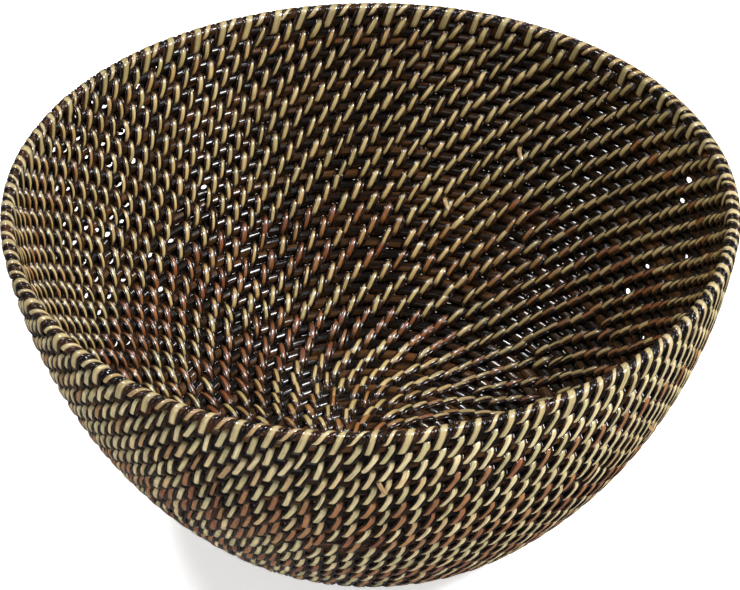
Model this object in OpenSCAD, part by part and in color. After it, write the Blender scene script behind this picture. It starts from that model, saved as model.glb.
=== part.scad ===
// Round coiled basket for fruit: rattan rod wound turn upon turn from the middle of the base to the
// rim, and bound with light and dark splints. Millimetres, +Z up, origin under the middle of the base.

/* [Bowl] */
// Outside diameter across the rim
rim_d = 300; // [260:1:370]
// Height from the table to the top of the rim
bowl_h = 146; // [120:1:180]
// Diameter of the flat part of the base
base_d = 106; // [84:1:130]
// Radius of the bend where the base turns up into the wall
bend_r = 51; // [40:1:64]
// Angle that the bend turns through before the wall takes over
bend_angle = 48; // [38:1:60]

/* [Coiled rod] */
// Diameter of the rattan rod
rod_d = 4.3; // [3.4:0.1:5.4]
// Smallest radius of the knot that the coiling starts from
least_knot_r = 3; // [2:0.5:5]
// Spliced lengths of rod in the base
base_rods = 3; // [1:1:4]
// Spliced lengths of rod in the bend
bend_rods = 4; // [1:1:4]
// Spliced lengths of rod in the wall
wall_rods = 13; // [4:1:16]

/* [Splints] */
// Thickness of a splint
splint_t = 0.8; // [0.5:0.05:1.2]
// Width of a light splint
light_w = 2.5; // [1.5:0.1:3]
// Width of a dark splint
dark_w = 2.3; // [1.5:0.1:2.8]
// Long light stitches round the rim
stitches = 72; // [40:4:80]

/* [Clearances] */
// Room between a splint and the rod that it lies on
splint_fit = 0.05; // [0.02:0.01:0.15]
// Room between a light splint and the dark one beside it
pair_gap = 0.1; // [0.05:0.05:0.3]

/* [Hidden] */
$fn = 96;
rod_colour = "#2b211b";
light_colour = "#b7a468";
dark_colour = "#1c1714";
binding_colour = "#8a7546";
DEG = PI / 180;

// One splint passes between each turn and the next
pitch = rod_d + splint_t + 2 * splint_fit;
// From the middle of a rod to the splint's inner and outer faces
splint_in = rod_d / 2 + splint_fit;
splint_out = splint_in + splint_t;

// The line through the middles of the turns, seen in section: flat base, bend arc, wall arc
base_r = base_d / 2;
base_z = splint_out;
bend_mid = [base_r, base_z + bend_r];
bend_end = bend_mid + bend_r * [sin(bend_angle), -cos(bend_angle)];
rim_mid = [rim_d / 2 - splint_out, bowl_h - splint_out];
wall_chord = rim_mid - bend_end;
// The wall arc leaves the bend smoothly and ends at the rim, which sets its slope there
rim_angle = 2 * atan2(wall_chord.y, wall_chord.x) - bend_angle;
wall_r = norm(wall_chord) / (2 * sin((rim_angle - bend_angle) / 2));
wall_mid = bend_end + wall_r * [-sin(bend_angle), cos(bend_angle)];
wall_len = wall_r * (rim_angle - bend_angle) * DEG;
bend_len = bend_r * bend_angle * DEG;
section_len = wall_len + bend_len + base_r;

// Turns below the rim turn, counted down from it
wall_turns = floor(wall_len / pitch);
bend_turns = floor((wall_len + bend_len) / pitch) - wall_turns;
base_turns = floor((section_len - least_knot_r + rod_d / 2) / pitch) - 1 - wall_turns - bend_turns;
all_turns = wall_turns + bend_turns + base_turns;
// The knot fills what the last turn leaves
knot_r = section_len - (all_turns + 1) * pitch + rod_d / 2;

// The rim's stitches: light and dark side by side, long pair and short pair by turns
stitch_step = 360 / stitches;
pair_step = ((light_w + dark_w) / 2 + pair_gap) / (rim_mid.x - splint_out) / DEG;
// The binding starts below the rim's long stitches, halfway to the second turn
binding_top = 1.5 * pitch;

// Slope of the section, and the point on it, at a distance down from the rim
function slope(s) =
    s <= wall_len ? rim_angle - s / wall_r / DEG
    : s <= wall_len + bend_len ? bend_angle - (s - wall_len) / bend_r / DEG
    : 0;
function middle(s) =
    s <= wall_len ? wall_mid + wall_r * [sin(slope(s)), -cos(slope(s))]
    : s <= wall_len + bend_len ? bend_mid + bend_r * [sin(slope(s)), -cos(slope(s))]
    : [section_len - s, base_z];

// ---- Rod ----

// The knot that the first turn is wound round
module start_knot() {
    color(rod_colour)
        translate([0, 0, base_z])
            rotate_extrude() {
                translate([knot_r - rod_d / 2, 0])
                    intersection() {
                        circle(d = rod_d);
                        translate([0, -rod_d]) square([rod_d, 2 * rod_d]);
                    }
                translate([0, -rod_d / 2]) square([knot_r - rod_d / 2, rod_d]);
            }
}

// One turn of rod, at its place down from the rim
module rod_turn(number) {
    rotate_extrude() translate(middle(number * pitch)) circle(d = rod_d);
}

// One spliced length of rod: its share of the turns of its part of the bowl, from the inside out.
// The turns of that part end at turn number last, counted down from the rim.
module rod_length(k, rods, turns, last) {
    first_turn = floor((k - 1) * turns / rods);
    last_turn = floor(k * turns / rods) - 1;
    color(rod_colour)
        for (t = [first_turn:last_turn]) rod_turn(last - t);
}

module base_rod(k) { rod_length(k, base_rods, base_turns, all_turns); }
module bend_rod(k) { rod_length(k, bend_rods, bend_turns, wall_turns + bend_turns); }
module wall_rod(k) { rod_length(k, wall_rods, wall_turns, wall_turns); }
module rim_rod() { color(rod_colour) rod_turn(0); }

// ---- Stitches over the rim ----

// Round-ended bar between two points
module bar(a, b, r) {
    along = b - a;
    translate(a) circle(r);
    if (norm(along) > 0) {
        translate(b) circle(r);
        translate(a) rotate(atan2(along.y, along.x)) translate([0, -r]) square([norm(along), 2 * r]);
    }
}

// Stitches that wrap the rim turn and the given number of turns below it
module rim_stitches(turns_below, width, start) {
    for (i = [0:stitches - 1])
        rotate([90, 0, start + i * stitch_step])
            linear_extrude(width, center = true)
                difference() {
                    bar(middle(0), middle(turns_below * pitch), splint_out);
                    bar(middle(0), middle(turns_below * pitch), splint_in);
                }
}

module rim_light_long() { color(light_colour) rim_stitches(1, light_w, 0); }
module rim_dark_long() { color(dark_colour) rim_stitches(1, dark_w, pair_step); }
module rim_light_short() { color(light_colour) rim_stitches(0, light_w, stitch_step / 2); }
module rim_dark_short() { color(dark_colour) rim_stitches(0, dark_w, stitch_step / 2 + pair_step); }

// ---- Binding: the layer that the stitches make on each side of the rods ----

// Flat layer over the whole base, from height z up
module base_layer(z) {
    color(binding_colour) translate([0, 0, z]) cylinder(r = base_r, h = splint_t);
}

// Layer that follows an arc of the section, between two slopes and two radii
module arc_layer(mid, low, high, r_in, r_out) {
    reach = 2 * r_out;
    color(binding_colour)
        rotate_extrude()
            intersection() {
                translate(mid) difference() {
                    circle(r_out, $fn = 360);
                    circle(r_in, $fn = 360);
                }
                polygon([for (p = [[0, 0],
                                   reach * [sin(low), -cos(low)],
                                   reach * [sin(high), -cos(high)]]) mid + p]);
            }
}

module base_binding_under() { base_layer(0); }
module base_binding_over() { base_layer(base_z + splint_in); }
module bend_binding_outside() {
    arc_layer(bend_mid, 0, bend_angle, bend_r + splint_in, bend_r + splint_out);
}
module bend_binding_inside() {
    arc_layer(bend_mid, 0, bend_angle, bend_r - splint_out, bend_r - splint_in);
}
module wall_binding_outside() {
    arc_layer(wall_mid, bend_angle, slope(binding_top), wall_r + splint_in, wall_r + splint_out);
}
module wall_binding_inside() {
    arc_layer(wall_mid, bend_angle, slope(binding_top), wall_r - splint_out, wall_r - splint_in);
}

start_knot();
for (k = [1:base_rods]) base_rod(k);
for (k = [1:bend_rods]) bend_rod(k);
for (k = [1:wall_rods]) wall_rod(k);
rim_rod();
rim_light_long();
rim_light_short();
rim_dark_long();
rim_dark_short();
base_binding_under();
base_binding_over();
bend_binding_outside();
bend_binding_inside();
wall_binding_outside();
wall_binding_inside();
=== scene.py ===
# %% [markdown]
# # A coiled basket for fruit
#
# The basket is one rattan rod wound turn on turn, from a knot in the middle of the base up to the
# rim. Flat splints bind each turn to the one below it: a light splint with a dark one on each side.
# There are about two thousand of these stitches, and each shows on the outside and on the inside.
# This lesson winds the rod and sews the stitches with Geometry Nodes, in a flat sheet first, and one
# shared group of nodes then bends the sheet into the bowl. So the rod and the stitches always meet.

# %% Opening the frame
import math

import bpy
import numpy as np
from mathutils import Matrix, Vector


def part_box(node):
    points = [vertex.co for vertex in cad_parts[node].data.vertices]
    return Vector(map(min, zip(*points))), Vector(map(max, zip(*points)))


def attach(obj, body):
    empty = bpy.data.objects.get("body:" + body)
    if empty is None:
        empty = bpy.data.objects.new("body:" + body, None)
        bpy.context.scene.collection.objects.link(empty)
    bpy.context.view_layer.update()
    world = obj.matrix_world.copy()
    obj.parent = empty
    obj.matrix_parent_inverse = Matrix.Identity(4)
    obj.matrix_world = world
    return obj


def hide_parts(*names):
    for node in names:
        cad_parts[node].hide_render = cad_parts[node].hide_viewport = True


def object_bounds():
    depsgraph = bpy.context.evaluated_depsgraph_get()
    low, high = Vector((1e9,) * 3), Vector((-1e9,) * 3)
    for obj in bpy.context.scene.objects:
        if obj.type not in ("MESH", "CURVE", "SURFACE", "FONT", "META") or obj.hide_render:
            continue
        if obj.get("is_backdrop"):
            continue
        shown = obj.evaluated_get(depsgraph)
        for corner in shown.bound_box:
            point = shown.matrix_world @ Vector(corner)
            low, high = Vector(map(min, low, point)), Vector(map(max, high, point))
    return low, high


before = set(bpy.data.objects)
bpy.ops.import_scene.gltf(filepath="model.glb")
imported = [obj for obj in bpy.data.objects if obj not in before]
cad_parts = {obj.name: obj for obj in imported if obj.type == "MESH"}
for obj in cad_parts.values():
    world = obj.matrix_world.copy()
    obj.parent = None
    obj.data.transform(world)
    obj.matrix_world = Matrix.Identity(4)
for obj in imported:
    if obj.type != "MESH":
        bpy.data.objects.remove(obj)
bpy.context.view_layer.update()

# %% [markdown]
# ## The sizes
#
# The section of the bowl is a flat base, a tight bend and a long shallow arc up to the rim. Its sizes
# are read from the boxes of a few nodes of the frame, so the looks follow the frame if it changes.
# The outside of the bend starts level with the table, so its height and its reach give its angle,
# once the slant of its end face is allowed for. A first guess is corrected a dozen times.

# %% Reading the section from the frame
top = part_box("rim_light_long")[1]
rim_low, rim_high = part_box("rim_rod")
under_low, under_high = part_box("base_binding_under")
bend_low, bend_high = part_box("bend_binding_outside")
rod_d = rim_high.z - rim_low.z
splint_t = under_high.z - under_low.z
base_r = under_high.x
splint_out = top.z - rim_high.z + rod_d / 2
splint_in = splint_out - splint_t
pitch = splint_in + splint_out
base_z = splint_out

bend_reach = bend_high.x - base_r
FIRST_GUESS = math.radians(45)
ROUNDS = 12
bend_angle = FIRST_GUESS
for _ in range(ROUNDS):
    bend_rise = bend_high.z - splint_t * math.cos(bend_angle)
    bend_angle = 2 * math.atan2(bend_rise, bend_reach)
bend_r = bend_reach / math.sin(bend_angle) - splint_out

bend_end = np.array([base_r + bend_r * math.sin(bend_angle),
                     base_z + bend_r * (1 - math.cos(bend_angle))])
rim_r = top.x
rim_mid = np.array([rim_r - splint_out, top.z - splint_out])
chord = rim_mid - bend_end
rim_angle = 2 * math.atan2(chord[1], chord[0]) - bend_angle
wall_r = np.linalg.norm(chord) / (2 * math.sin((rim_angle - bend_angle) / 2))
wall_mid = bend_end + wall_r * np.array([-math.sin(bend_angle), math.cos(bend_angle)])
wall_len = wall_r * (rim_angle - bend_angle)
bend_len = bend_r * bend_angle
section_len = wall_len + bend_len + base_r


def section_at(down):
    """The section's slope, its distance from the middle and its height, at a distance down it."""
    if down < wall_len:
        slope = rim_angle - down / wall_r
        return slope, wall_mid[0] + wall_r * math.sin(slope), wall_mid[1] - wall_r * math.cos(slope)
    slope = max(0.0, bend_angle - (down - wall_len) / bend_r)
    run = max(0.0, down - wall_len - bend_len)
    return slope, base_r + bend_r * math.sin(slope) - run, base_z + bend_r * (1 - math.cos(slope))


print("bend", round(bend_r * 1000, 2), "mm and", round(math.degrees(bend_angle), 2), "degrees")
print("turns", round(pitch * 1000, 2), "mm apart, section", round(section_len * 1000, 1), "mm long")

# %% [markdown]
# ## Two small helpers for nodes
#
# Node trees are easier to read as sums than as boxes and links. A Wire wraps one socket and takes
# part in Python sums, and a Desk makes the nodes. Both serve the shaders and the geometry trees,
# because the same Math nodes work in both.

# %% The helpers
class Wire:
    """One socket that takes part in sums: each sum adds its Math node."""

    def __init__(self, desk, socket):
        self.desk = desk
        self.socket = socket

    def math(self, operation, *others):
        return self.desk.node("ShaderNodeMath", [self, *others], operation=operation)

    def __add__(self, other):
        return self.math("ADD", other)

    def __sub__(self, other):
        return self.math("SUBTRACT", other)

    def __mul__(self, other):
        return self.math("MULTIPLY", other)

    def __truediv__(self, other):
        return self.math("DIVIDE", other)

    def __pow__(self, other):
        return self.math("POWER", other)

    def __rsub__(self, other):
        return self.desk.node("ShaderNodeMath", [other, self], operation="SUBTRACT")

    def clamped(self):
        """The same value, held between 0 and 1."""
        return self.desk.node("ShaderNodeClamp", [self, 0.0, 1.0])

    def step(self, low, high):
        """0 below low, 1 above high, and a smooth rise between them."""
        return self.desk.node("ShaderNodeMapRange", [self, low, high, 0.0, 1.0],
                              interpolation_type="SMOOTHSTEP")


class Desk:
    """Makes the nodes of one tree."""

    def __init__(self, tree):
        self.tree = tree

    def node(self, kind, values=(), out=0, stops=(), **settings):
        made = self.tree.nodes.new(kind)
        for name, value in settings.items():
            setattr(made, name, value)
        if stops:
            ramp = made.color_ramp.elements
            while len(ramp) < len(stops):
                ramp.new(1.0)
            for element, (place, colour) in zip(ramp, stops):
                element.position = place
                element.color = (*colour, 1.0)
        pairs = values.items() if isinstance(values, dict) else enumerate(values)
        for key, value in pairs:
            if isinstance(value, Wire):
                self.tree.links.new(value.socket, made.inputs[key])
            elif value is not None:
                made.inputs[key].default_value = value
        return Wire(self, made.outputs[out])

    def vector(self, x, y, z):
        return self.node("ShaderNodeCombineXYZ", [x, y, z])

    def parts(self, vector):
        """The x, y and z of a vector."""
        x = self.node("ShaderNodeSeparateXYZ", [vector])
        others = x.socket.node.outputs
        return x, Wire(self, others[1]), Wire(self, others[2])

    def carried(self, label, kind="FLOAT"):
        """A figure that the points of a geometry carry under a name."""
        return self.node("GeometryNodeInputNamedAttribute", [label], data_type=kind)

    def noise(self, place, scale, detail=2.0):
        return self.node("ShaderNodeTexNoise",
                         {"Vector": place, "Scale": scale, "Detail": detail})


def new_group(name, inputs, outputs):
    """A geometry tree with named inputs: its desk, and its inputs as wires."""
    tree = bpy.data.node_groups.new(name, "GeometryNodeTree")
    for label, kind in inputs:
        tree.interface.new_socket(name=label, in_out="INPUT", socket_type="NodeSocket" + kind)
    for label, kind in outputs:
        tree.interface.new_socket(name=label, in_out="OUTPUT", socket_type="NodeSocket" + kind)
    desk = Desk(tree)
    start = tree.nodes.new("NodeGroupInput")
    given = {label: Wire(desk, start.outputs[label]) for label, kind in inputs}
    return desk, given


def end_group(desk, wire):
    end = desk.tree.nodes.new("NodeGroupOutput")
    desk.tree.links.new(wire.socket, end.inputs[0])


# %% [markdown]
# ## From a flat sheet to a bowl
#
# In the flat sheet a point has three figures: how far down the section it is from the rim turn, how
# far round the basket, and how far out from the line through the middles of the turns. This group
# works out the slope of the section there, and from it the point on the bowl. No hand-wound basket
# is true, so the group also lets the wall and the turns wander by a fraction of a millimetre, and the
# rim dips and rises in three slow waves, as the weight of a stack of such baskets makes it do.

# %% The group that bends the sheet
SIZES = {
    "Wall length": wall_len,
    "Wall radius": wall_r,
    "Wall middle out": wall_mid[0],
    "Wall middle up": wall_mid[1],
    "Rim slope": rim_angle,
    "Bend length": bend_len,
    "Bend radius": bend_r,
    "Bend angle": bend_angle,
    "Base radius": base_r,
    "Base height": base_z,
    "Wall wander": 0.0009,
    "Turn wander": 0.0005,
}
# How the rim's height varies round the basket: waves round it, size in metres, place of the crest
RIM_WAVES = [(1, 0.0016, math.radians(-20)), (2, 0.0014, math.radians(150)),
             (3, 0.0006, math.radians(-60))]
# The least distance from the middle that a sideways step is measured at
LEAST_R = 0.0015
# How closely the wander of the wall and of the turns varies, round the basket and down it
WALL_WANDER_CLOSENESS = (2.1, 16)
TURN_WANDER_CLOSENESS = (9, 60)


def build_bowl_group():
    inputs = [(label, "Float") for label in SIZES]
    inputs += [("Down", "Float"), ("Round", "Float"), ("Aside", "Float"), ("Out", "Float")]
    desk, given = new_group("bowl_shape", inputs, [("Place", "Vector")])
    size = {label: given[label] for label in SIZES}
    around = given["Round"]
    down = given["Down"]
    out = given["Out"]
    wall_share = (1 - down / size["Wall length"]).clamped()
    dip = 0.0
    for waves, height, crest in RIM_WAVES:
        dip = (around * waves - crest * waves).math("COSINE") * height + dip
    cosine = around.math("COSINE")
    sine = around.math("SINE")
    about, along = WALL_WANDER_CLOSENESS
    wander = desk.noise(desk.vector(cosine * about, sine * about, down * along), 1.0) - 0.5
    about, along = TURN_WANDER_CLOSENESS
    jostle = desk.noise(desk.vector(cosine * about, sine * about, down * along + 7), 1.0) - 0.5
    down = down - dip * wall_share * wall_share + jostle * size["Turn wander"]
    out = out + wander * size["Wall wander"] * wall_share.step(0.0, 0.4)

    slope = size["Rim slope"] - down / size["Wall radius"]
    wall_arm = size["Wall radius"] + out
    wall_x = size["Wall middle out"] + wall_arm * slope.math("SINE")
    wall_z = size["Wall middle up"] - wall_arm * slope.math("COSINE")

    past_wall = down - size["Wall length"]
    slope = (size["Bend angle"] - past_wall / size["Bend radius"]).math("MAXIMUM", 0.0)
    run = (past_wall - size["Bend length"]).math("MAXIMUM", 0.0)
    bend_arm = size["Bend radius"] + out
    low_x = size["Base radius"] + bend_arm * slope.math("SINE") - run
    low_z = size["Base height"] + size["Bend radius"] - bend_arm * slope.math("COSINE")

    in_wall = past_wall.math("LESS_THAN", 0.0)
    x = low_x + (wall_x - low_x) * in_wall
    z = low_z + (wall_z - low_z) * in_wall
    turned = around + given["Aside"] / x.math("MAXIMUM", LEAST_R)
    place = desk.vector(x * turned.math("COSINE"), x * turned.math("SINE"), z)
    end_group(desk, place)
    return desk.tree


bowl_group = build_bowl_group()
print("the bowl group has", len(bowl_group.nodes), "nodes")


def bowl_place(desk, given, **figures):
    """The group at work in another tree: Down, Round, Aside and Out go in, a place comes out."""
    values = {label: given[label] for label in SIZES}
    values.update(figures)
    return desk.node("GeometryNodeGroup", values, node_tree=bowl_group)


# %% [markdown]
# ## Parting the weave
#
# Further on, gaps are opened in the weave for light to shine through. This helper does the opening in
# both trees. It finds the nearest gap, drops what lies along the line of sight through it, and moves
# the place away from that line. A ribbon slips aside. A rod can only move up or down, away from the
# groove that the gap lies in, because it runs on past the gap on both sides.

# %% The helper that opens the gaps
# The push is whole up to the first distance from a gap, and has faded out at the second
PUSH_WHOLE = 0.007
PUSH_GONE = 0.012
# How much of a rod a gap moves, and how far, both in half widths of the gap, squared
ROD_STRETCH = 3.2
ROD_PUSH = 4
LEAST_DISTANCE = 1e-5


def part_at_gaps(desk, given, place, line=None):
    """The place, pushed away from the line of sight through the nearest gap.

    A ribbon's place is pushed straight away from it. A rod's place, given how far down its line
    lies, is pushed up where the rod lies above the gap, and down where it lies below.
    """
    def vectors(operation, *values):
        out = "Value" if operation in ("DOT_PRODUCT", "LENGTH") else "Vector"
        return desk.node("ShaderNodeVectorMath", list(values), out=out, operation=operation)

    def scaled(vector, factor):
        return desk.node("ShaderNodeVectorMath", {0: vector, "Scale": factor}, operation="SCALE")

    gaps = desk.node("GeometryNodeObjectInfo", [given["Gaps"]], out="Geometry")
    centre = bowl_place(desk, given, Down=desk.carried("down"), Round=desk.carried("around"),
                        Aside=0.0, Out=0.0)
    gaps = desk.node("GeometryNodeSetPosition", {"Geometry": gaps, "Position": centre})
    nearest = desk.node("GeometryNodeSampleNearest", {"Geometry": gaps, "Sample Position": place})

    def sampled(value, data_type):
        return desk.node("GeometryNodeSampleIndex",
                         {"Geometry": gaps, "Value": value, "Index": nearest},
                         data_type=data_type)

    centre = sampled(desk.node("GeometryNodeInputPosition"), "FLOAT_VECTOR")
    look = sampled(desk.carried("look", "FLOAT_VECTOR"), "FLOAT_VECTOR")
    width = sampled(desk.carried("width"), "FLOAT")
    away = vectors("SUBTRACT", place, centre)
    aside = vectors("SUBTRACT", away, scaled(look, vectors("DOT_PRODUCT", away, look)))
    distance = vectors("LENGTH", aside).math("MAXIMUM", LEAST_DISTANCE)
    near = 1 - vectors("LENGTH", away).step(PUSH_WHOLE, PUSH_GONE)
    if line is None:
        opened = (distance * distance + width * width * near).math("SQRT")
        return vectors("ADD", place, scaled(aside, opened / distance - 1))

    up_way = sampled(desk.carried("up_way", "FLOAT_VECTOR"), "FLOAT_VECTOR")
    turned_up = (sampled(desk.carried("down"), "FLOAT") - line).math("SIGN")
    height = vectors("DOT_PRODUCT", away, up_way) * turned_up
    level = distance * distance - height * height
    share = (1 - level / (width * width * ROD_STRETCH)).step(0.0, 0.7) * near
    raised = (height + (height * height + width * width * ROD_PUSH).math("SQRT")) * 0.5
    return vectors("ADD", place, scaled(up_way, (raised - height) * share * turned_up))


# %% [markdown]
# ## Keeping plain meshes
#
# Each tree is put on an object as a modifier, and its result is kept as a plain mesh. The stitches'
# own figures, such as a shade and a lean, go in on the vertices of a mesh that has nothing else.

# %% Helpers for objects, for the figures they carry and for running a tree
def new_object(name, data):
    """A new object in the scene."""
    made = bpy.data.objects.new(name, data)
    bpy.context.scene.collection.objects.link(made)
    return made


def carry(mesh, label, figures):
    """Puts a number or a vector on every vertex of a mesh."""
    figures = np.asarray(figures, np.float32)
    kind, field = ("FLOAT", "value") if figures.ndim == 1 else ("FLOAT_VECTOR", "vector")
    mesh.attributes.new(label, kind, "POINT").data.foreach_set(field, figures.ravel())


def run_tree(name, base, tree, values):
    """Puts the tree on the base object as a modifier, and keeps the result as a plain mesh."""
    modifier = base.modifiers.new(name, "NODES")
    modifier.node_group = tree
    for item in tree.interface.items_tree:
        if item.in_out == "INPUT" and item.name in values:
            modifier[item.identifier] = values[item.name]
    depsgraph = bpy.context.evaluated_depsgraph_get()
    mesh = bpy.data.meshes.new_from_object(base.evaluated_get(depsgraph))
    bpy.data.objects.remove(base)
    mesh.calc_loop_triangles()
    print(name, "has", len(mesh.loop_triangles), "triangles")
    return new_object(name, mesh)


def points_object(name, columns):
    """An object with a vertex for each stitch or gap, which carries its figure in each column."""
    mesh = bpy.data.meshes.new(name)
    mesh.vertices.add(len(next(iter(columns.values()))))
    for label, figures in columns.items():
        carry(mesh, label, figures)
    return new_object(name, mesh)


# %% [markdown]
# ## Splint and rod finishes
#
# The light splints are peeled cane: straw, olive and tan, with some lengths stained red-brown, and
# fine fibres along them. Their edges are drawn brown, partly varnish and partly painted shade on
# their rounded flanks. Their ends are painted darker as the shade where they dive into the grooves
# between the turns, the lower end more. The copy inside the bowl is warmer and darker, with more of
# this painted shade. On the rim, hands have rubbed the varnish in. The dark splints are the same
# cane dyed nearly black, and the rod is smoked rattan, brown where it is worn.
# Each stitch carries its own shade, and its fibres follow the figures that its ribbon carries
# along and across, so the pattern never slides.

# %% Materials
STRAW = (0.58, 0.49, 0.27)
OLIVE = (0.40, 0.35, 0.155)
TAN = (0.50, 0.37, 0.17)
GOLD = (0.33, 0.19, 0.070)
ROSE = (0.31, 0.135, 0.038)
RUSSET = (0.20, 0.050, 0.011)
# Honey brown for the splints' edges: partly varnish and partly painted shade on their rounded flanks
HONEY = (0.14, 0.064, 0.016)
# The colour of the painted shade at the splints' ends, where they dive into the grooves
GROOVE_SHADE_AMBER = (0.050, 0.018, 0.005)


def new_material(name, coat, coat_roughness, gloss):
    """A material with a principled shader: its desk, its shader and a reader of figures."""
    material = bpy.data.materials.new(name)
    material.use_nodes = True
    shader = material.node_tree.nodes["Principled BSDF"]
    shader.inputs["Coat Weight"].default_value = coat
    shader.inputs["Coat Roughness"].default_value = coat_roughness
    shader.inputs["Specular IOR Level"].default_value = gloss
    desk = Desk(material.node_tree)

    def figure(label):
        """The figure under this name, which is the attribute node's third output."""
        return desk.node("ShaderNodeAttribute", attribute_name=label, out=2)

    return material, desk, shader, figure


def link_surface(desk, shader, colour, roughness, height, depth):
    """Links what changes over a surface: its colour, its roughness and its relief."""
    links = desk.tree.links
    links.new(colour.socket, shader.inputs["Base Color"])
    links.new(roughness.socket, shader.inputs["Roughness"])
    relief = desk.node("ShaderNodeBump", {"Height": height, "Distance": depth, "Strength": 0.8})
    links.new(relief.socket, shader.inputs["Normal"])


def tinted(desk, colour, tint, amount):
    """The colour drawn towards a tint by an amount."""
    return desk.node("ShaderNodeMix", {0: amount, 6: colour, 7: tint}, out=2, data_type="RGBA")


def shaded(desk, colour, factor):
    """The colour made lighter or darker by a factor."""
    grey = desk.vector(factor, factor, factor)
    return desk.node("ShaderNodeMix", {0: 1.0, 6: colour, 7: grey}, out=2, data_type="RGBA",
                     blend_type="MULTIPLY", clamp_result=False)


def light_material(name, varnish_and_shade, ends, ends_share, edge_brown_and_shade_share):
    """Light cane under a tint of varnish, which inside the bowl is also painted shade. Its edges are
    drawn brown, partly varnish and partly painted shade on the rounded flanks, and it is painted darker
    as shade between two distances from its middle, where 1 is its end, the lower end more."""
    material, desk, shader, figure = new_material(name, coat=1.0, coat_roughness=0.13, gloss=0.6)
    travel = figure("travel")
    across = figure("across")
    strand = figure("strand")
    colour = desk.node("ShaderNodeValToRGB", [figure("shade")],
                       stops=[(0.0, STRAW), (0.25, OLIVE), (0.45, STRAW), (0.60, TAN),
                              (0.73, GOLD), (0.86, ROSE), (1.0, RUSSET)])
    streaks = desk.noise(desk.vector(across * 5, travel * 1.1, strand * 91), 1.6, 3.0)
    blotches = desk.noise(desk.vector(across * 0.8, travel * 2.2, strand * 57 + 11), 1.3)
    # Painted shade: the ends are darkened where the splint dives into the grooves between the turns,
    # the lower end more than the upper
    to_end = (travel * 2 - 1.08).math("ABSOLUTE")
    groove_shade = (to_end + (blotches - 0.5) * 0.3).step(*ends)
    # Partly varnish brown and partly painted shade: both edges are drawn towards honey brown, as the
    # rounded flanks of the splint fall into shade
    brown_and_shaded_edge = (across + (streaks - 0.5) * 0.5).math("ABSOLUTE").step(0.40, 1.02)
    tone = desk.noise(desk.vector(strand * 431, 3.0, 5.0), 1.0, 0.0)
    colour = shaded(desk, colour, streaks * 2.3 + blotches * 0.8 + tone * 0.6 - 0.83)
    colour = desk.node("ShaderNodeMix", {0: 1.0, 6: colour, 7: (*varnish_and_shade, 1.0)}, out=2,
                       data_type="RGBA", blend_type="MULTIPLY")
    colour = tinted(desk, colour, (*HONEY, 1.0), brown_and_shaded_edge * edge_brown_and_shade_share)
    colour = tinted(desk, colour, (*GROOVE_SHADE_AMBER, 1.0), groove_shade * ends_share)
    link_surface(desk, shader, colour, streaks * 0.25 + 0.22, streaks, 0.0003)
    return material


def dark_material(name, tone, brown):
    """Dyed cane, browner where the dye is worn."""
    material, desk, shader, figure = new_material(name, coat=0.6, coat_roughness=0.09, gloss=0.12)
    streaks = desk.noise(desk.vector(figure("across") * 4, figure("travel") * 1.3,
                                     figure("strand") * 71), 1.7, 3.0)
    worn = desk.noise(desk.vector(figure("travel") * 1.5, figure("strand") * 33, 3.0), 2.0)
    colour = tinted(desk, (*tone, 1.0), (*brown, 1.0), worn.step(0.42, 0.75))
    colour = shaded(desk, colour, streaks * 2.0)
    link_surface(desk, shader, colour, streaks * 0.15 + 0.2, streaks, 0.0002)
    return material


def rod_material(name, tone, brown):
    """Smoked rattan, browner in some stretches, with a grain that follows the rod."""
    material, desk, shader, figure = new_material(name, coat=0.5, coat_roughness=0.09, gloss=0.12)
    sheet = desk.node("ShaderNodeAttribute", attribute_name="sheet", out=1)
    along, down, girth = desk.parts(sheet)
    grain = desk.noise(desk.vector(along * 60, down * 700, girth * 700), 2.0, 3.0)
    lengths = desk.noise(desk.vector(along * 12, down * 190, 5.0), 1.0)
    colour = tinted(desk, (*tone, 1.0), (*brown, 1.0), lengths.step(0.46, 0.72))
    colour = shaded(desk, colour, grain * 2.2 - 0.15)
    link_surface(desk, shader, colour, grain * 0.15 + 0.2, grain, 0.0003)
    return material


light_outside = light_material("light_splint_outside", varnish_and_shade=(0.90, 0.88, 0.86),
                               ends=(0.80, 1.0), ends_share=0.7, edge_brown_and_shade_share=0.42)
# The inside copy is warmer and darker, with heavier darkening at its edges and ends: painted shade for
# the inside of the bowl
light_inside = light_material("light_splint_inside", varnish_and_shade=(0.90, 0.80, 0.62),
                              ends=(0.38, 0.70), ends_share=0.97, edge_brown_and_shade_share=0.78)
light_rim = light_material("light_splint_rim", varnish_and_shade=(0.78, 0.72, 0.64),
                           ends=(0.80, 1.0), ends_share=0.7, edge_brown_and_shade_share=0.66)
dark_finish = dark_material("dark_splint_dyed", tone=(0.0036, 0.0022, 0.0015),
                            brown=(0.045, 0.015, 0.005))
rod_finish = rod_material("smoked_rattan", tone=(0.0040, 0.0023, 0.0013),
                          brown=(0.085, 0.036, 0.011))

# %% [markdown]
# ## Laying out the stitches
#
# A binder sews each turn to the one below, and puts every stitch midway between two stitches of the
# last row, as bricks are laid. The rim holds seventy-two. A basket narrows towards its foot, so a
# row would get crowded, and there a stitch is left out now and then. The rows below lean, because
# the binder's pull drags each stitch a little to one side. One splint makes a dozen or two stitches
# before it runs out, and the next has another shade, so the shades come in runs.

# %% The figures of every stitch
LEAST_KNOT_R = 0.003
RIM_STITCHES = 72
# The least distance between the stitches of a row, and how far a row drags on the one above at the foot
LEAST_STEP = 0.0116
DRAG = 0.14
# How unevenly stitches are spaced, as a share of their distance, and how far they are then evened
# out. Luck has a part in which stitch of a crowded row is left out.
UNEVEN = 0.035
EVENED = 0.22
LUCK = 0.6
bend_turn = math.floor(wall_len / pitch) + 1
last_turn = math.floor((section_len - LEAST_KNOT_R + rod_d / 2) / pitch) - 1
rng = np.random.default_rng(7)


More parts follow.
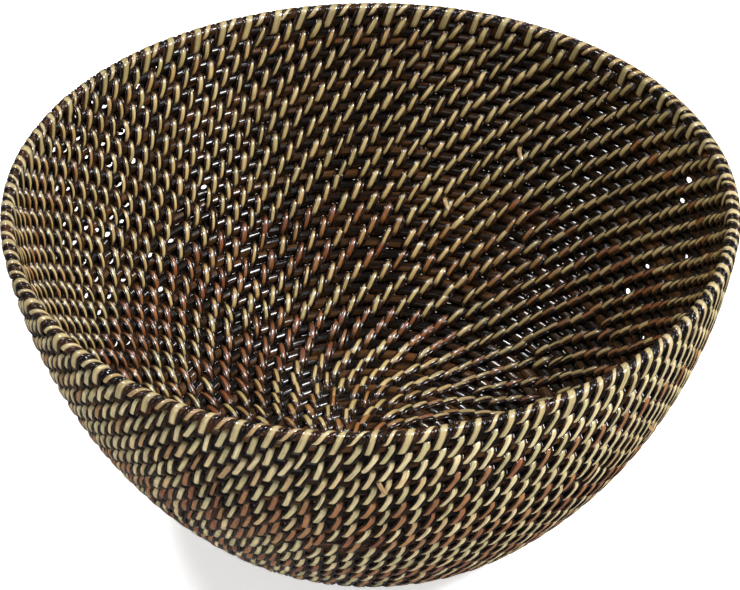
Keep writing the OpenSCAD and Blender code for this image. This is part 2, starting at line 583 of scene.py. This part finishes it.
def next_row(angles, radius, drag):
    """The row below: midway between the stitches above, with fewer where they crowd."""
    after = np.roll(angles, -1)
    after[-1] += math.tau
    middles = (angles + after) / 2
    room = max(5, math.floor(math.tau * radius / LEAST_STEP))
    while len(middles) > room:
        gaps = np.diff(np.append(middles, middles[0] + math.tau))
        crowding = gaps + np.roll(gaps, 1) + rng.uniform(0, LUCK, len(gaps)) * gaps.mean()
        middles = np.delete(middles, int(np.argmin(crowding)))
    step = math.tau / len(middles)
    middles = middles + rng.normal(0, UNEVEN, len(middles)) * step - drag * step
    gaps = np.diff(np.append(middles, middles[0] + math.tau))
    before = np.roll(gaps, 1)
    return middles + (gaps - before) * EVENED


rows = [np.arange(RIM_STITCHES) * math.tau / RIM_STITCHES]
for turn in range(1, last_turn + 1):
    low = turn * pitch / section_len
    rows.append(next_row(rows[-1], section_at((turn + 0.5) * pitch)[1], DRAG * low))
print("rows", len(rows), "with", [len(row) for row in rows], "stitches")


# From and to what place on the scale of colours the two kinds of light splint lie, how many stitches
# one splint makes, and how much their shades differ
LIGHT_SHADES = (0.0, 0.66)
RED_SHADES = (0.74, 1.0)
RUN_LENGTHS = (7, 24)
SHADE_SPREAD = 0.035
# The share of red lengths at the rim, how much larger it is low down, and over how many turns it grows
RED_AT_RIM = 0.02
RED_MORE = 0.40
RED_TURNS = 20
# How much stitches vary in width and in slant, and by how much at most
VARIED = {"width": (0.12, 0.28), "slant": (0.17, 0.45)}


def shade_runs(count, turn):
    """Shades for a row, in runs of one splint each. Low rows hold more of the red lengths."""
    shades = []
    red_share = RED_AT_RIM + RED_MORE * min(1.0, turn / RED_TURNS) ** 1.5
    while len(shades) < count:
        run = int(rng.integers(*RUN_LENGTHS))
        is_red = rng.random() < red_share
        shades += [rng.uniform(*(RED_SHADES if is_red else LIGHT_SHADES))] * run
    return np.array(shades[:count]) + rng.normal(0, SHADE_SPREAD, count)


stitches = {"turn": [], "around": [], "shade": []}
for turn, row in enumerate(rows):
    stitches["turn"] += [turn] * len(row)
    stitches["around"] += list(row)
    stitches["shade"] += list(np.roll(shade_runs(len(row), turn), rng.integers(len(row))))
stitches = {label: np.array(figures, float) for label, figures in stitches.items()}
count = len(stitches["turn"])
stitches["strand"] = rng.uniform(0, 1, count)
for label, (amount, most) in VARIED.items():
    stitches[label] = rng.normal(1.0, amount, count).clip(1 - most, 1 + most)
print(count, "stitches")

# Half width of a light splint, and half widths and offsets of the dark ones ahead of it and behind it
LIGHT_HALF = 0.00112
DARK_HALVES = [0.00095, 0.00062]
DARK_OFFSETS = [0.00205, -0.0016]
# Each face of the bowl: its side, how far its stitches lean, how much more they lean at the right
# than in the middle, and the share of a step that they lie further on
FACES = [("outside", 1.0, 0.0044, 0.0, 0.0), ("inside", -1.0, 0.0050, 0.0014, 0.5)]

# %% [markdown]
# ## Gaps
#
# In places the turns don't quite meet, and light shows through. A gap opens between two turns where
# no light splint crosses. These are found by trying spots along the grooves and asking which
# ribbons cross the line from there to the eye of someone who looks into the bowl from the front. A
# dark splint in the way has slipped aside, so it is left out. Then every piece near a gap is pushed
# away from that line, just as an awl would part the weave.

# %% Finding places for the gaps
CAMERA_TILT = math.radians(37.84)
CAMERA_TARGET = Vector((0, 0, 0.6414 * rim_r))
CAMERA_REACH = 9.371 * rim_r
EYE = CAMERA_TARGET + CAMERA_REACH * Vector((0, -math.cos(CAMERA_TILT), math.sin(CAMERA_TILT)))
# How far out from the middle of the rods the ribbons lie, and what share of that they still have
# where they dive, in the rows above and below a gap's own
LAYER = 0.0025
DIVE_SHARE = 0.45
# How far past its ends a ribbon may still be in the way, as a share of its rise
RISE_MARGIN = 0.05
# Where gaps lie: from and to what angle round the basket, from and to what turn, and how many
GAP_ZONES = [(98, 126, 3, 18, 14), (126, 162, 1, 12, 24), (135, 184, 9, 21, 26), (10, 80, 4, 19, 6)]
ANGLE_STEP = 0.8
GAP_HALF = 0.0009
GAP_SPACING = 0.0092
# How much the gaps differ in width, how far clear of them light ribbons lie, both as shares of the
# half width, and what part luck has in which spots are taken
GAP_WIDTHS = (0.75, 1.25)
LIGHT_CLEAR = 1.1
GAP_LUCK = 1.5


def crossed_by(turn, angle):
    """What crosses the line of sight through a groove: how many light ribbons, and which dark ones.

    The directions of that line and of a rod's way out of it come with them.
    """
    slope, radius, height = section_at((turn + 0.5) * pitch)
    round_way = Vector((-math.sin(angle), math.cos(angle), 0))
    out_way = Vector((math.cos(angle), math.sin(angle), 0))
    up_way = out_way * math.cos(slope) + Vector((0, 0, math.sin(slope)))
    out_way = out_way * math.sin(slope) - Vector((0, 0, math.cos(slope)))
    centre = Vector((radius * math.cos(angle), radius * math.sin(angle), height))
    look = (EYE - centre).normalized()
    lights, darks = 0, []
    for row in (turn - 1, turn, turn + 1):
        chosen = np.flatnonzero(stitches["turn"] == row)
        step = math.tau / len(chosen)
        for face, side, lean, more_lean, shift in FACES:
            travel = -side * LAYER / look.dot(out_way)
            if row != turn:
                travel *= DIVE_SHARE
            aside = -look.dot(round_way) * travel
            up = -look.dot(up_way) * travel
            rise = (1 + row - turn + up / pitch) / 2
            if not -RISE_MARGIN < rise < 1 + RISE_MARGIN:
                continue
            apart = stitches["around"][chosen] + shift * step - angle
            apart = ((apart + math.pi) % math.tau - math.pi) * radius
            slant = lean * stitches["slant"][chosen] + more_lean * np.cos(stitches["around"][chosen])
            middle = apart + side * slant * (rise - 0.5) - aside
            lights += int(np.sum(np.abs(middle) < LIGHT_HALF + GAP_HALF * LIGHT_CLEAR))
            for strip in (0, 1):
                from_strip = np.abs(middle + side * DARK_OFFSETS[strip])
                darks += [(face, strip, int(chosen[n]))
                          for n in np.flatnonzero(from_strip < DARK_HALVES[strip] + GAP_HALF)]
    level_way = (round_way - look * look.dot(round_way)).normalized()
    across_sight = level_way.cross(look)
    return lights, darks, (look, across_sight * math.copysign(1, across_sight.dot(up_way)))


gaps, gap_ways, slipped = [], [], set()
for first_angle, last_angle, first_turn, last_gap_turn, count in GAP_ZONES:
    tried = []
    for turn in range(first_turn, last_gap_turn):
        for angle in np.radians(np.arange(first_angle, last_angle, ANGLE_STEP)):
            lights, darks, ways = crossed_by(turn, angle)
            if lights == 0:
                score = len(darks) + rng.uniform(0, GAP_LUCK)
                tried.append((score, turn, float(angle), darks, ways))
    tried.sort(key=lambda spot: spot[0])
    kept = []
    for score, turn, angle, darks, ways in tried:
        radius = section_at(turn * pitch)[1]
        apart = [math.hypot((angle - other) * radius, (turn - at) * pitch) for at, other in kept]
        if len(kept) < count and all(gap > GAP_SPACING for gap in apart):
            kept.append((turn, angle))
            gap_ways.append(ways)
            slipped.update(darks)
    gaps += kept
print(len(gaps), "gaps, and", len(slipped), "dark splints slipped aside")

gap_points = points_object("gap_points", {
    "down": [(turn + 0.5) * pitch for turn, angle in gaps],
    "around": [angle for turn, angle in gaps],
    "width": rng.uniform(*GAP_WIDTHS, len(gaps)) * GAP_HALF,
    "look": [list(look) for look, up_way in gap_ways],
    "up_way": [list(up_way) for look, up_way in gap_ways]})

# %% [markdown]
# ## Winding the rod
#
# The rod lies in the flat sheet as level lines, one for each turn, and a tube is drawn along them.
# The turns are pressed together as they are bound, so the tube is a little taller than it is deep,
# and almost closes the gaps. Bending the sheet then curls every line into its turn.

# %% The tree that winds the rod
# The rod's half height as a share of the pitch, and its half depth as a share of its radius
ROD_TALL = 0.49
ROD_DEEP = 0.97
ROD_SIDES = 12
# Metres of sheet for each radian round the basket
SHEET_SCALE = 0.1
# Beside a gap the steps are closer, over a stretch to each side of it
CLOSE_REACH = 0.008
CLOSE_STEPS = 29


def build_rod_tree():
    inputs = [("Geometry", "Geometry"), ("Finish", "Material"), ("Gaps", "Object"),
              ("Rod height", "Float"), ("Rod depth", "Float"), ("Sides", "Int")]
    inputs += [(label, "Float") for label in SIZES]
    desk, given = new_group("wound_rod", inputs, [("Geometry", "Geometry")])
    lines = desk.node("GeometryNodeMeshToCurve", [given["Geometry"]])
    lines = desk.node("GeometryNodeSetCurveNormal", {"Curve": lines}, mode="Z_UP")
    round_rod = desk.node("GeometryNodeCurvePrimitiveCircle",
                          {"Resolution": given["Sides"], "Radius": 1.0})
    squashed = desk.node("GeometryNodeTransform",
                         {"Geometry": round_rod,
                          "Scale": desk.vector(given["Rod height"], given["Rod depth"], 1.0)})
    tube = desk.node("GeometryNodeCurveToMesh", {"Curve": lines, "Profile Curve": squashed})
    position = desk.node("GeometryNodeInputPosition")
    tube = desk.node("GeometryNodeStoreNamedAttribute",
                     {"Geometry": tube, "Name": "sheet", "Value": position},
                     data_type="FLOAT_VECTOR", domain="POINT")
    along, up, out = desk.parts(position)
    place = bowl_place(desk, given, Down=up * -1, Round=along / SHEET_SCALE, Aside=0.0, Out=out)
    place = part_at_gaps(desk, given, place, desk.carried("line"))
    tube = desk.node("GeometryNodeSetPosition", {"Geometry": tube, "Position": place})
    tube = desk.node("GeometryNodeMergeByDistance", {"Geometry": tube, "Distance": 1e-5})
    tube = desk.node("GeometryNodeRealizeInstances", [tube])
    tube = desk.node("GeometryNodeSetMaterial", {"Geometry": tube, "Material": given["Finish"]})
    end_group(desk, tube)
    return desk.tree


rod_tree = build_rod_tree()


def wind_rod(name, first, last, steps):
    """Winds the turns from first to last, with closer steps beside a gap."""
    verts, edges, lines = [], [], []
    for turn in range(first, last + 1):
        angles = list(np.linspace(0, math.tau, steps + 1))
        for gap_turn, gap_angle in gaps:
            if gap_turn in (turn, turn - 1):
                reach = CLOSE_REACH / section_at(turn * pitch)[1]
                angles += list(gap_angle % math.tau + np.linspace(-reach, reach, CLOSE_STEPS))
        angles = sorted(angle for angle in set(angles) if 0 <= angle <= math.tau)
        start = len(verts)
        verts += [(angle * SHEET_SCALE, -turn * pitch, 0.0) for angle in angles]
        lines += [turn * pitch] * len(angles)
        edges += [(start + n, start + n + 1) for n in range(len(angles) - 1)]
    mesh = bpy.data.meshes.new(name)
    mesh.from_pydata(verts, edges, [])
    carry(mesh, "line", lines)
    values = {"Finish": rod_finish, "Gaps": gap_points, "Rod height": pitch * ROD_TALL,
              "Rod depth": rod_d / 2 * ROD_DEEP, "Sides": ROD_SIDES, **SIZES}
    return run_tree(name, new_object(name, mesh), rod_tree, values)


wall_coil = wind_rod("wall_coil", 0, bend_turn - 1, 156)
foot_coil = wind_rod("foot_coil", bend_turn, last_turn, 120)

# %% [markdown]
# ## The ribbons
#
# A stitch is modelled once, as a flat ribbon: across is x, up the wall is y and out of the wall is
# z. It arches over two turns and dives into the gap at each end. Round the rim the ribbon goes right
# over the top and down the inside. Its vertices carry how far along and across the splint they are.

# %% The ribbon shapes
LIGHT_SECTION = [(-0.94, -0.5), (0.94, -0.5), (1.0, -0.05), (0.62, 0.42), (-0.62, 0.42),
                 (-1.0, -0.05)]
DARK_SECTION = [(-1.0, -0.5), (1.0, -0.5), (0.82, 0.25), (0.0, 0.65), (-0.82, 0.25)]


def make_ribbon(name, path, section, thickness, taper, looped=False):
    """A ribbon along a path of (up, out) points. x runs from -1 to 1 across it.

    It narrows towards its ends by the taper. Its rise is how far up it a point is, as a share, but on
    a looped ribbon how far along.
    """
    path = np.array(path)
    heading = np.gradient(path, axis=0)
    heading /= np.linalg.norm(heading, axis=1)[:, None]
    length = np.append(0, np.cumsum(np.linalg.norm(np.diff(path, axis=0), axis=1)))
    travel = length / length[-1]
    verts, along, across, rise = [], [], [], []
    for (up, out), (go_up, go_out), t in zip(path, heading, travel):
        narrow = 1 - taper * abs(2 * t - 1) ** 3
        for x, lift in section:
            verts.append((x * narrow, up - go_out * lift * thickness,
                          out + go_up * lift * thickness))
            along.append(t)
            across.append(x)
            rise.append(t if looped else (up - path[0][0]) / (path[-1][0] - path[0][0]))
    sides = len(section)
    faces = [tuple(range(sides))[::-1],
             tuple(range(len(verts) - sides, len(verts)))]
    for ring in range(len(path) - 1):
        for side in range(sides):
            a = ring * sides + side
            b = ring * sides + (side + 1) % sides
            faces.append((a, b, b + sides, a + sides))
    mesh = bpy.data.meshes.new(name)
    mesh.from_pydata(verts, [], faces)
    mesh.shade_smooth()
    mesh.set_sharp_from_angle(angle=math.radians(42))
    for label, figures in (("travel", along), ("across", across), ("rise", rise)):
        carry(mesh, label, figures)
    return new_object(name, mesh)


def arch_path(points, height, flatness):
    """From the groove below two turns, over both, to the groove above them."""
    share = (1 - np.cos(np.linspace(0, math.pi, points))) / 2
    up = pitch * (2 * share - 1.5)
    out = height * (1 - np.abs(2 * share - 1) ** flatness).clip(0, 1) ** 0.5
    return np.column_stack([up, out])


def loop_path(turns_below, height, quarter):
    """Round the rim turn and the turns below it, from the outside, over the top, to the inside."""
    low = -pitch * turns_below
    ease = np.linspace(0, math.pi / 2, quarter)
    first = [(low - height * math.cos(a), height * math.sin(a)) for a in ease]
    over = [(height * math.sin(a), height * math.cos(a))
            for a in np.append(ease, ease[1:] + math.pi / 2)]
    last = [(low - height * math.sin(a), -height * math.cos(a)) for a in ease]
    middle_out = [(low / 2, height * 1.05)] if turns_below else []
    middle_in = [(low / 2, -height * 1.05)] if turns_below else []
    path = first + middle_out + over[0 if turns_below else 1:] + middle_in
    return path + last[0 if turns_below else 1:]


# Section and thickness of each kind of splint, and how far out its middle lies
KINDS = {"light": (LIGHT_SECTION, 0.0006, splint_out - 0.0003),
         "dark": (DARK_SECTION, 0.0005, splint_out - 0.00045)}
# Each arch: points along it, how much higher than its kind it is, how flat its top is, and its taper
ARCHES = {"light_outside": (10, 0.0, 5.5, 0.06), "light_inside": (10, 0.0004, 2.2, 0.5),
          "dark_outside": (6, 0.0, 4.5, 0.15), "dark_inside": (6, 0.0003, 2.2, 0.35)}
# Each loop round the rim: turns below the rim turn, points in a quarter, and taper
LOOPS = {"light_long": (1, 6, 0.15), "light_short": (0, 7, 0.15),
         "dark_long": (1, 6, 0.1), "dark_short": (0, 7, 0.1)}
# A loose end's path, in pitches up and millimetres out
TAIL = [(-0.5, 0.0), (-0.6, 2.2), (-0.85, 3.3), (-1.1, 3.9), (-1.4, 4.2)]

ribbons = {}
for name, (points, higher, flatness, taper) in ARCHES.items():
    section, thickness, height = KINDS[name.split("_")[0]]
    path = arch_path(points, height + higher, flatness)
    ribbons[name] = make_ribbon(name + "_arch", path, section, thickness, taper)
for name, (turns_below, quarter, taper) in LOOPS.items():
    section, thickness, height = KINDS[name.split("_")[0]]
    path = loop_path(turns_below, height, quarter)
    ribbons[name] = make_ribbon(name, path, section, thickness, taper, looped=True)
section, thickness, height = KINDS["light"]
tail_path = [(up * pitch, out / 1000) for up, out in TAIL]
ribbons["tail"] = make_ribbon("tail", tail_path, section, thickness, 0.1)
for name, ribbon in ribbons.items():
    print(name, "ribbon of", len(ribbon.data.polygons), "faces")

# %% [markdown]
# ## The tree that sews
#
# One tree sews every row. It puts a ribbon on each point, makes the ribbons real, widens each to its
# own splint's width, slants it by its own lean and bends it on to the bowl. On the inside of the
# bowl the ribbon is turned about, both across and through the wall, so its faces still look outward.

# %% Building the sewing tree
def build_sewing_tree():
    inputs = [("Geometry", "Geometry"), ("Ribbon", "Object"), ("Finish", "Material"),
              ("Gaps", "Object"), ("Side", "Float"), ("Middle of the lean", "Float")]
    inputs += [(label, "Float") for label in SIZES]
    desk, given = new_group("sewn_rows", inputs, [("Geometry", "Geometry")])
    figure = desk.carried
    ribbon = desk.node("GeometryNodeObjectInfo", [given["Ribbon"]], out="Geometry")
    sewn = desk.node("GeometryNodeInstanceOnPoints",
                     {"Points": given["Geometry"], "Instance": ribbon})
    sewn = desk.node("GeometryNodeRealizeInstances", [sewn])
    across, up, out = desk.parts(desk.node("GeometryNodeInputPosition"))
    rise = figure("rise")
    before_end = 1 - rise
    lean = figure("lean") * (rise - given["Middle of the lean"])
    hook = figure("hook") * before_end * before_end
    aside = across * figure("half_width") + figure("offset") + lean - hook
    side = given["Side"]
    place = bowl_place(desk, given, Down=figure("down") - up, Round=figure("around"),
                       Aside=side * aside, Out=side * (out + figure("lift")))
    place = part_at_gaps(desk, given, place)
    sewn = desk.node("GeometryNodeSetPosition", {"Geometry": sewn, "Position": place})
    sewn = desk.node("GeometryNodeSetMaterial", {"Geometry": sewn, "Material": given["Finish"]})
    end_group(desk, sewn)
    return desk.tree


sewing_tree = build_sewing_tree()

# %% [markdown]
# ## Sewing the rows
#
# The light stitches of the wall and of the foot are separate pieces, and so are the dark ones, each
# outside and inside. A dark splint shows on both sides of a light one: a wide one ahead of it and a
# narrow one behind it. On the inside each stitch lies half a step on, where the splint comes back.

# %% Rows of the wall and of the foot
# Stitches closer together than this are narrower and lean less, down to a share
FREE_STEP = 0.0131
LEAST_SNUG = 0.35
# Stitches of the wall ride a little proud of the rods
WALL_LIFT = 0.0002


def sew(name, chosen, ribbon, finish, side, half_widths, offsets, lean, hook=0.0, middle=0.5,
        shift=0.0, more_lean=0.0, shades=None, face="rim"):
    """Sews the chosen stitches, once for each offset, and returns the piece."""
    turns = stitches["turn"][chosen]
    radius = np.array([section_at((turn + 0.5) * pitch)[1] for turn in turns])
    step = math.tau / np.array([len(rows[int(turn)]) for turn in turns])
    snug = (step * radius / FREE_STEP).clip(LEAST_SNUG, 1.0)
    columns = {"down": turns * pitch,
               "around": stitches["around"][chosen] + shift * step,
               "shade": stitches["shade"][chosen] if shades is None else shades,
               "strand": stitches["strand"][chosen],
               "lean": (lean * stitches["slant"][chosen]
                        + more_lean * np.cos(stitches["around"][chosen])) * snug,
               "hook": np.full(len(step), hook) * snug,
               "lift": np.where(turns < bend_turn, WALL_LIFT, 0.0)}
    reach = 4 * pitch if face == "rim" else 2 * pitch
    widened = np.sqrt(1 + (columns["lean"] / reach) ** 2)
    parts = []
    for strip, (offset, half) in enumerate(zip(offsets, half_widths)):
        part = dict(columns)
        part["offset"] = offset * snug
        part["half_width"] = half * stitches["width"][chosen] * snug * widened
        if len(offsets) > 1:
            stays = np.array([(face, strip, int(n)) not in slipped for n in np.flatnonzero(chosen)])
            part = {label: figures[stays] for label, figures in part.items()}
        parts.append(part)
    joined = {label: np.concatenate([part[label] for part in parts]) for label in parts[0]}
    base = points_object(name, joined)
    values = {"Ribbon": ribbon, "Finish": finish, "Gaps": gap_points, "Side": side,
              "Middle of the lean": middle, **SIZES}
    return run_tree(name, base, sewing_tree, values)


in_wall = (stitches["turn"] >= 1) & (stitches["turn"] < bend_turn - 1)
in_foot = stitches["turn"] >= bend_turn - 1
# The foot of a stitch hooks back a little on the outside, and light splints curl narrower inside
HOOKS = {"outside": 0.0003, "inside": 0.0}
NARROWER = {"outside": 1.0, "inside": 0.93}
LIGHT_FINISHES = {"outside": light_outside, "inside": light_inside}
pieces = {}
for zone, chosen in (("wall", in_wall), ("foot", in_foot)):
    for face, side, lean, more_lean, shift in FACES:
        splints = (("light", LIGHT_FINISHES[face], [LIGHT_HALF * NARROWER[face]], [0.0]),
                   ("dark", dark_finish, DARK_HALVES, DARK_OFFSETS))
        for kind, finish, half_widths, offsets in splints:
            name = f"{zone}_{kind}_{face}"
            pieces[name] = sew(name, chosen, ribbons[f"{kind}_{face}"], finish, side, half_widths,
                               offsets, lean, HOOKS[face], shift=shift, more_lean=more_lean,
                               face=face)

# %% [markdown]
# ## Binding the rim
#
# The rim is whipped all round. A long stitch goes over the rim turn and the turn below it, then a
# short one, browner and more slanted, goes over the rim turn alone, and so on by turns. The dark
# splints fill what is left, so no rod shows on top.

# %% The rim's four sets of stitches
on_rim = stitches["turn"] == 0
# How far long and short stitches lean, how far on they lie, in steps, how wide the light ones are
# beside those of the wall, and their shades
RIM_SETS = {"long": (0.0092, 0.0, 1.22, stitches["shade"][on_rim] * 0.6),
            "short": (0.0118, 0.5, 0.86, 0.34 + stitches["shade"][on_rim] * 0.5)}
# The dark splints lie further from the light ones than on the wall
RIM_OFFSETS = [DARK_OFFSETS[0] * 1.2, DARK_OFFSETS[1] * 1.15]
for kind in ("light", "dark"):
    for length, (lean, shift, width, shades) in RIM_SETS.items():
        if kind == "light":
            finish, half_widths, offsets = light_rim, [LIGHT_HALF * width], [0.0]
        else:
            finish, half_widths, offsets = dark_finish, DARK_HALVES, RIM_OFFSETS
        name = f"rim_{kind}_{length}_set"
        pieces[name] = sew(name, on_rim, ribbons[f"{kind}_{length}"], finish, 1.0, half_widths,
                           offsets, lean, middle=0.25, shift=shift, shades=shades)

# %% [markdown]
# ## Loose ends
#
# A splint's end is tucked under its neighbours, but a few have worked loose and stick out. Each is a
# short tail beside one stitch, at the turn and the angle given.

# %% The loose ends
# On each face, the turn and the angle round the basket of each loose end
LOOSE_ENDS = {"outside": [(4, -88), (9, -40), (7, 95)], "inside": [(10, 58), (16, 75)]}
LOOSE_SHADE = 0.7
for face, side, *_ in FACES:
    chosen = np.zeros(len(stitches["turn"]), bool)
    for turn, angle in LOOSE_ENDS[face]:
        away = (stitches["around"] - math.radians(angle)) % math.tau
        away = np.minimum(away, math.tau - away) + math.tau * (stitches["turn"] != turn)
        chosen[np.argmin(away)] = True
    name = f"loose_ends_{face}"
    pieces[name] = sew(name, chosen, ribbons["tail"], light_outside, side, [LIGHT_HALF * 0.9],
                       [0.0005], 0.0034, middle=0.0, shift=0.25, face="loose",
                       shades=np.full(int(chosen.sum()), LOOSE_SHADE))

for helper in (*ribbons.values(), gap_points):
    bpy.data.objects.remove(helper)

# %% [markdown]
# ## The knot
#
# The coil starts from a knot: the rod's end shaved thin and wound tight. It hardly shows under the
# stitches that cross it, so it is turned as one small domed disc with a rolled edge.

# %% Turning the knot
KNOT_STEPS = 32
KNOT_RINGS = 9
knot_r = section_len - (last_turn + 1) * pitch + rod_d / 2
verts = [(0, 0, base_z + rod_d / 2), (0, 0, base_z - rod_d / 2)]
for a in np.linspace(0, math.pi, KNOT_RINGS):
    radius = knot_r - rod_d / 2 + rod_d / 2 * math.sin(a)
    for angle in np.arange(KNOT_STEPS) * math.tau / KNOT_STEPS:
        verts.append((radius * math.cos(angle), radius * math.sin(angle),
                      base_z + rod_d / 2 * math.cos(a)))
faces = []
for step in range(KNOT_STEPS):
    after = (step + 1) % KNOT_STEPS
    last = 2 + (KNOT_RINGS - 1) * KNOT_STEPS
    faces += [(0, 2 + step, 2 + after), (1, last + after, last + step)]
    for a in range(2, last, KNOT_STEPS):
        b = a + KNOT_STEPS
        faces.append((a + step, b + step, b + after, a + after))
knot_mesh = bpy.data.meshes.new("knot")
knot_mesh.from_pydata(verts, [], faces)
knot_mesh.shade_smooth()
knot_mesh.materials.append(rod_finish)
carry(knot_mesh, "sheet", verts)
knot = new_object("knot", knot_mesh)
print("the knot is", round(knot_r * 2000, 1), "mm across")

# %% [markdown]
# ## Floor, lights and camera
#
# The basket stands on a white sweep. A large lamp above, to the right and to the front, gives the
# bright tops of the stitches, and a low broad one from the front left fills the outside. Two small
# lamps behind give the sharp white lights in the varnish. The room's own light is weak, so that the
# dark splints stay dark. The floor glows a little to stay white, and isn't mirrored in the varnish.

# %% The floor
bpy.ops.mesh.primitive_circle_add(vertices=96, radius=30, fill_type="NGON")
floor = bpy.context.object
floor.name = "floor"
floor_material = bpy.data.materials.new("white_sweep")
floor_material.use_nodes = True
floor_inputs = floor_material.node_tree.nodes["Principled BSDF"].inputs
for label, value in {"Base Color": (0.95, 0.95, 0.95, 1), "Roughness": 0.9,
                     "Specular IOR Level": 0.0, "Emission Color": (1, 1, 1, 1),
                     "Emission Strength": 0.6}.items():
    floor_inputs[label].default_value = value
floor.data.materials.append(floor_material)
floor.visible_glossy = False
floor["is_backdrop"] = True

# %% The lights
world = bpy.data.worlds.new("studio")
world.use_nodes = True
room = world.node_tree.nodes["Background"].inputs
room["Color"].default_value = (1.0, 1.0, 1.0, 1)
room["Strength"].default_value = 0.125
bpy.context.scene.world = world
LAMP_TARGET = Vector((0, 0, 0.08))


def add_lamp(name, place, size, power):
    """A square lamp that points at the middle of the basket."""
    data = bpy.data.lights.new(name, "AREA")
    data.size = size
    data.energy = power
    lamp = new_object(name, data)
    lamp.location = place
    lamp.rotation_euler = (LAMP_TARGET - Vector(place)).to_track_quat("-Z", "Y").to_euler()


add_lamp("key", (1.6, -0.7, 2.0), 0.7, 104)
add_lamp("fill", (-1.3, -2.0, 0.7), 1.6, 15)
add_lamp("back", (-1.3, 0.6, 2.0), 0.4, 38)
add_lamp("glint", (1.7, 0.9, 1.5), 0.3, 12)

# %% The camera
camera_data = bpy.data.cameras.new("camera")
camera_data.sensor_width = 36
camera_data.lens = 164.65
camera = new_object("camera", camera_data)
camera.location = EYE
camera.rotation_euler = (math.pi / 2 - CAMERA_TILT, 0, 0)
bpy.context.scene.camera = camera
bpy.context.scene.view_settings.view_transform = "Standard"

# %% [markdown]
# ## Handing over
#
# Every piece rides on the basket's one body, and the nodes of the frame that it stands for are
# hidden.

# %% Saying what each piece stands for
BINDINGS = {
    "wall_outside": ["wall_binding_outside"],
    "wall_inside": ["wall_binding_inside"],
    "foot_outside": ["bend_binding_outside", "base_binding_under"],
    "foot_inside": ["bend_binding_inside", "base_binding_over"],
}


def nodes_of(name):
    """The nodes that a piece made of splints stands for."""
    if name.startswith("rim"):
        return [name.removesuffix("_set")]
    zone = "foot" if name.startswith("foot") else "wall"
    return BINDINGS[zone + "_" + name.split("_")[-1]]


def hand_over(piece, nodes):
    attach(piece, "root")
    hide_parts(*nodes)


for name, piece in pieces.items():
    hand_over(piece, nodes_of(name))
rod_nodes = [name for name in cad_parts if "_rod" in name]
foot_rods = [name for name in rod_nodes if name.startswith(("base", "bend"))]
hand_over(wall_coil, [name for name in rod_nodes if name not in foot_rods])
hand_over(foot_coil, foot_rods)
hand_over(knot, ["start_knot"])

# %% Printing the visual box
low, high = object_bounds()
print("the visual box ", [round(v, 4) for v in (*low, *high)])
